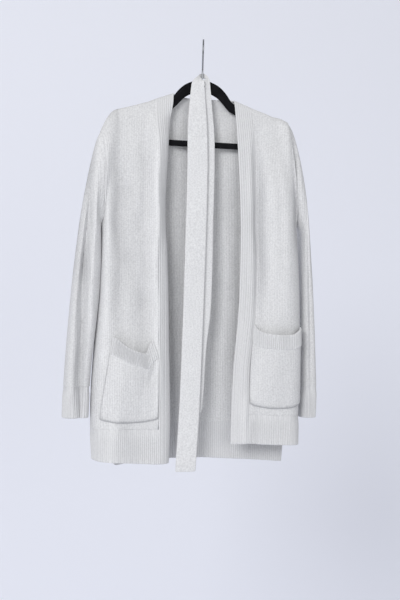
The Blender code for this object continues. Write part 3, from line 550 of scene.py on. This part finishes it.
def nestle(mesh, centre, inner, press):
    """Press a sleeve's inner fold against the body below the armhole."""
    armhole, fade = -0.37, 0.04
    places = points(mesh)
    near = np.clip((places[:, 0] - centre) / (inner - centre), 0, 1)
    low = np.clip((armhole - places[:, 2]) / fade, 0, 1)
    places[:, 0] += press * near * near * low
    move_points(mesh, places)


def round_sleeve(centre, middle, radius):
    """A function for the metres round a sleeve about its upright middle line."""
    def across(places):
        return np.arctan2(places[:, 1] - middle / 1000, places[:, 0] - centre) * radius

    return across


SLEEVE_RADIUS = 0.036
SLEEVE_GIRTH = math.tau * SLEEVE_RADIUS
for side, middle, centre in (("left", 7, -0.262), ("right", 24, 0.236)):
    across = round_sleeve(centre, middle, SLEEVE_RADIUS)
    shape = squared("sleeve_" + side)
    relax(shape, -0.46)
    link(shape, "front_" + side, "back")
    link(shape, "cuff_" + side, reach=0)
    sleeve = smoothed(shape, 0.6)
    if side == "left":
        nestle(sleeve, centre, inner=-0.228, press=0.0065)
    map_knit(sleeve, across, SLEEVE_GIRTH)
    hang(sleeve, SLEEVE_CREASES[side], -1, middle)
    piece = put_on(side + "_sleeve", sleeve, "sleeve_" + side, heather)

    shape = squared("cuff_" + side)
    raise_ribs(shape, lift=0.5)
    link(shape, "sleeve_" + side)
    cuff = smoothed(shape, 0.4)
    map_knit(cuff, across, SLEEVE_GIRTH)
    hang(cuff, SLEEVE_CREASES[side], -1, middle)
    piece = put_on(side + "_cuff", cuff, "cuff_" + side, ribbing)


# Belt. A flat tube 42 mm wide, knitted in the same yarn with smaller loops and hung by its middle
# over the neck of the hook, so that its two ends hang free in front of the back panel.
smooth_knit = knit_finish("belt_knit", 0.003, 0.0022, 0.0003, 1.04)


def pinch(mesh, middle, top, low, half):
    """Draw the inner edges of the belt's two ends together in front of the hook's neck."""
    fade, flank, overlap, farthest, forward = 0.006, 0.003, 0.0008, 0.003, 0.0035
    places = points(mesh)
    x, y, z = places.T
    near = np.clip(1 - np.abs(x - middle) / half, 0, 1)
    height = np.clip(np.minimum(top - z, z - low) / fade, 0, 1)
    pull = near * height * np.clip(-y / flank, 0, 1)
    reach = np.minimum(np.abs(middle - x) + overlap, farthest)
    places[:, 0] += np.sign(middle - x) * reach * pull
    places[:, 1] -= forward * pull
    move_points(mesh, places)


def across_belt(places):
    """Metres across the belt, whose ends lean a little as they hang."""
    lean = 0.043
    return places[:, 0] - lean * places[:, 2]


belt = smoothed(squared("belt"), 0.6)
pinch(belt, middle=-0.00175, top=-0.072, low=-0.108, half=0.009)
map_knit(belt, across_belt)
piece = put_on("tie_belt", belt, "belt", smooth_knit)


# Room. A pale wall and floor in one sweep, soft studio light and the camera.
left, front_edge, wall, floor, top, wide = -5, -4, 2.6, -2.9, 4, 10
sweep = bmesh.new()
line = ((left, front_edge, floor), (left, wall, floor), (left, wall, top))
corners = [sweep.verts.new(place) for place in line]
spine = [sweep.edges.new(corners[:2]), sweep.edges.new(corners[1:])]
bmesh.ops.bevel(sweep, geom=[corners[1]], affect="VERTICES", offset=0.8, segments=24, profile=0.5,
                material=-1)
made = bmesh.ops.extrude_edge_only(sweep, edges=sweep.edges)
moved = [v for v in made["geom"] if isinstance(v, bmesh.types.BMVert)]
bmesh.ops.translate(sweep, verts=moved, vec=(wide, 0, 0))
bmesh.ops.recalc_face_normals(sweep, faces=sweep.faces)
room_mesh = bpy.data.meshes.new("room")
sweep.to_mesh(room_mesh)
sweep.free()
room_mesh.shade_smooth()
room = bpy.data.objects.new("room", room_mesh)
bpy.context.scene.collection.objects.link(room)
pale = (0.88, 0.895, 0.965, 1)
paint = new_finish("pale_wall", Roughness=0.9, Base_Color=pale, Emission_Color=pale,
                   Emission_Strength=0.03)[0]
room_mesh.materials.append(paint)

world = bpy.data.worlds.new("studio")
world.use_nodes = True
sky = world.node_tree.nodes["Background"]
sky.inputs["Color"].default_value = (0.97, 0.98, 1, 1)
sky.inputs["Strength"].default_value = 0.52
bpy.context.scene.world = world


def soft_light(name, place, aim, size, power):
    """A square soft box that points at a place."""
    light = bpy.data.lights.new(name, "AREA")
    light.size = size
    light.energy = power
    lamp = bpy.data.objects.new(name, light)
    lamp.location = place
    lamp.rotation_euler = (Vector(aim) - Vector(place)).to_track_quat("-Z", "Y").to_euler()
    bpy.context.scene.collection.objects.link(lamp)


soft_light("key", (-3.0, -5.0, 1.5), (0, 0, -0.45), 2.1, 185)
soft_light("fill", (0.5, -3.6, -0.2), (0, 0, -0.5), 1.6, 17)

lens = bpy.data.cameras.new("camera")
lens.lens = 69.77
lens.sensor_width = 36
camera = bpy.data.objects.new("camera", lens)
turn, distance, aside, height = math.radians(12), 2.5, 0.0075, -0.557
camera.location = (-distance * math.sin(turn) - aside * math.cos(turn),
                   -distance * math.cos(turn) + aside * math.sin(turn), height)
camera.rotation_euler = (math.radians(90), 0, -turn)
bpy.context.scene.collection.objects.link(camera)
bpy.context.scene.camera = camera
bpy.context.scene.view_settings.view_transform = "Standard"
